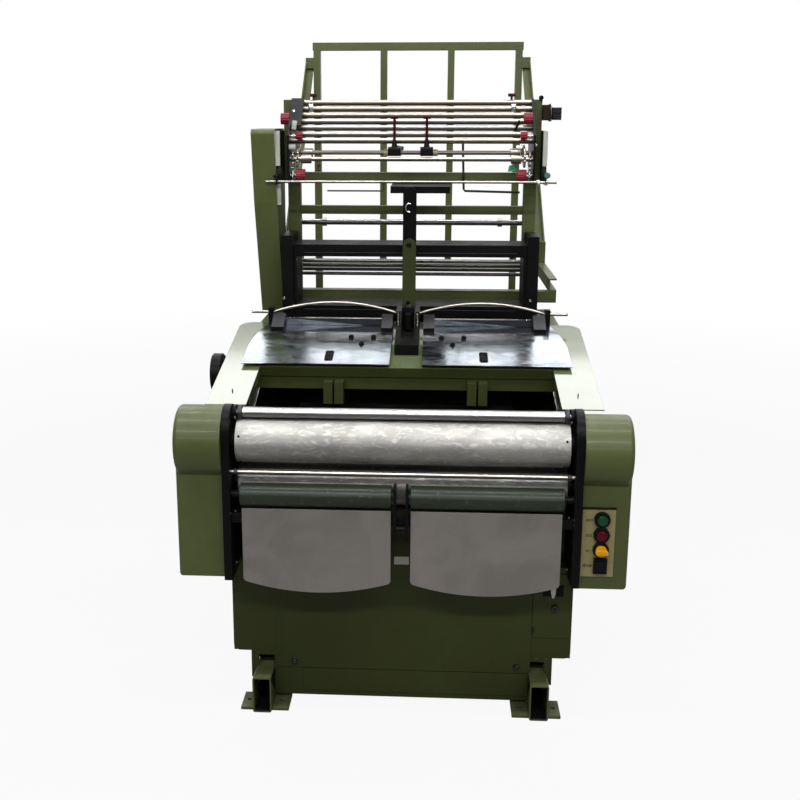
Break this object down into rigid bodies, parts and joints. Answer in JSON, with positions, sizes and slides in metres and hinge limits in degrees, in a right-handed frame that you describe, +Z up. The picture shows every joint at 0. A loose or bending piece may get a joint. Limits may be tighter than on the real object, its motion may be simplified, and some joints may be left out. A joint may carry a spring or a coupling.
{
  "type": "narrow fabric loom",
  "caption": "Green needle loom for tapes and narrow fabrics, with side by side weaving heads, heald frames, take-off rollers, a feeder on posts and a rear warp frame.",
  "frame": {"origin": "on the floor at the middle of the machine's footprint", "axes": "+Z up, the front with the take-off rollers faces -Y, +X to the right seen from the front"},
  "size_m": [1.146, 1.85, 1.815],
  "materials": {
    "green_paint": "gloss enamel",
    "table_paint": "high gloss enamel",
    "black_casting": "satin",
    "dark_steel": "blackened",
    "knurled_steel": "knurled",
    "polished_steel": "polished",
    "roller_rubber": "ground rubber",
    "grey_sheet": "satin grey",
    "stainless_sheet": "polished sheet",
    "panel_beige": "satin",
    "green_plastic": "gloss",
    "red_plastic": "gloss",
    "yellow_plastic": "gloss",
    "black_plastic": "gloss"
  },
  "bodies": {
    "frame": {"apron_rail": "black_casting", "base_cross_members": "green_paint", "batten_bars": "polished_steel", "belt_cover": "green_paint", "body_floor": "green_paint", "body_side_left": "green_paint", "body_side_right": "green_paint", "cavity_cross_plate": "green_paint", "centre_block": "black_casting", "centre_tie": "green_paint", "control_panel": "panel_beige", "drive_cover_left": "green_paint", "drive_cover_right": "green_paint", "feeder_holders": "black_casting", "feeder_sheets": "dark_steel", "feeder_tubes": "polished_steel", "foot_left": "green_paint", "foot_right": "green_paint", "frame_beams": "green_paint", "frame_posts": "green_paint", "front_aprons": "grey_sheet", "front_door": "green_paint", "front_panel": "green_paint", "gear_case": "black_casting", "gear_motor": "black_casting", "guide_rod": "polished_steel", "hand_knobs": "red_plastic", "head_aprons": "stainless_sheet", "head_left": "dark_steel", "head_right": "dark_steel", "heald_posts": "black_casting", "pull_rod": "polished_steel", "pull_rod_brackets": "black_casting", "rear_beams": "green_paint", "rear_brace_left": "green_paint", "rear_brace_right": "green_paint", "rear_deck": "green_paint", "rear_panel": "green_paint", "rear_uprights": "green_paint", "rod_clamps": "black_casting", "side_rails": "green_paint", "table_top": "table_paint", "take_off_plate_left": "black_casting", "take_off_plate_right": "black_casting", "warp_rod_brackets": "green_paint", "warp_rods": "polished_steel"},
    "take_off_roller": {"take_off_roller": "knurled_steel"},
    "lower_roller": {"lower_roller": "knurled_steel"},
    "press_shaft": {"press_shaft": "polished_steel"},
    "press_rollers": {"press_rollers": "roller_rubber"},
    "handwheel": {"handwheel": "black_casting"},
    "start_button": {"start_button": "green_plastic"},
    "stop_button": {"stop_button": "red_plastic"},
    "selector_knob": {"selector_knob": "yellow_plastic"},
    "rocker_switch": {"rocker_switch": "black_plastic"},
    "stop_bow_rod": {"stop_bow_rod": "polished_steel"},
    "heald_frames_odd": {"heald_frames_odd": "black_casting"},
    "heald_frames_even": {"heald_frames_even": "black_casting"},
    "feed_shaft_upper": {"feed_shaft_upper": "polished_steel"},
    "feed_shaft_lower": {"feed_shaft_lower": "polished_steel"}
  },
  "joints": [
    {"name": "take_off_spin", "type": "hinge", "parent": "frame", "child": "take_off_roller", "pos_m": [0, -0.833, 0.74], "axis": [1, 0, 0], "continuous": true},
    {"name": "lower_roller_spin", "type": "hinge", "parent": "frame", "child": "lower_roller", "pos_m": [0, -0.798, 0.62], "axis": [1, 0, 0], "continuous": true},
    {"name": "press_shaft_spin", "type": "hinge", "parent": "frame", "child": "press_shaft", "pos_m": [0, -0.81838, 0.80876], "axis": [1, 0, 0], "continuous": true},
    {"name": "press_rollers_spin", "type": "hinge", "parent": "frame", "child": "press_rollers", "pos_m": [0, -0.88292, 0.61197], "axis": [1, 0, 0], "continuous": true},
    {"name": "handwheel_spin", "type": "hinge", "parent": "frame", "child": "handwheel", "pos_m": [0, -0.465, 0.832], "axis": [1, 0, 0], "continuous": true},
    {"name": "start_press", "type": "slide", "parent": "frame", "child": "start_button", "axis": [0, 1, 0], "range_m": [0, 0.004], "stiffness_N_per_m": 800},
    {"name": "stop_press", "type": "slide", "parent": "frame", "child": "stop_button", "axis": [0, 1, 0], "range_m": [0, 0.004], "stiffness_N_per_m": 800},
    {"name": "selector_turn", "type": "hinge", "parent": "frame", "child": "selector_knob", "pos_m": [0.502, -0.895, 0.485], "axis": [0, 1, 0], "range_deg": [-45, 45]},
    {"name": "rocker_tilt", "type": "hinge", "parent": "frame", "child": "rocker_switch", "pos_m": [0.502, -0.893, 0.442], "axis": [1, 0, 0], "range_deg": [-8, 8]},
    {"name": "stop_bow_turn", "type": "hinge", "parent": "frame", "child": "stop_bow_rod", "pos_m": [0, -0.24, 0.972], "axis": [1, 0, 0], "range_deg": [-15, 15]},
    {"name": "shed_odd", "type": "slide", "parent": "frame", "child": "heald_frames_odd", "axis": [0, 0, 1], "range_m": [-0.035, 0.035]},
    {"name": "shed_even", "type": "slide", "parent": "frame", "child": "heald_frames_even", "axis": [0, 0, 1], "range_m": [-0.035, 0.035]},
    {"name": "feed_upper_spin", "type": "hinge", "parent": "frame", "child": "feed_shaft_upper", "pos_m": [0, -0.094, 1.436], "axis": [1, 0, 0], "continuous": true},
    {"name": "feed_lower_spin", "type": "hinge", "parent": "frame", "child": "feed_shaft_lower", "pos_m": [0, -0.138, 1.418], "axis": [1, 0, 0], "continuous": true}
  ],
  "couplings": [
    {"joint": "lower_roller_spin", "follows": "take_off_spin", "ratio": -1},
    {"joint": "press_shaft_spin", "follows": "take_off_spin", "ratio": -3.6667},
    {"joint": "press_rollers_spin", "follows": "take_off_spin", "ratio": 1.8333},
    {"joint": "shed_even", "follows": "shed_odd", "ratio": -1},
    {"joint": "feed_lower_spin", "follows": "feed_upper_spin", "ratio": 1}
  ]
}
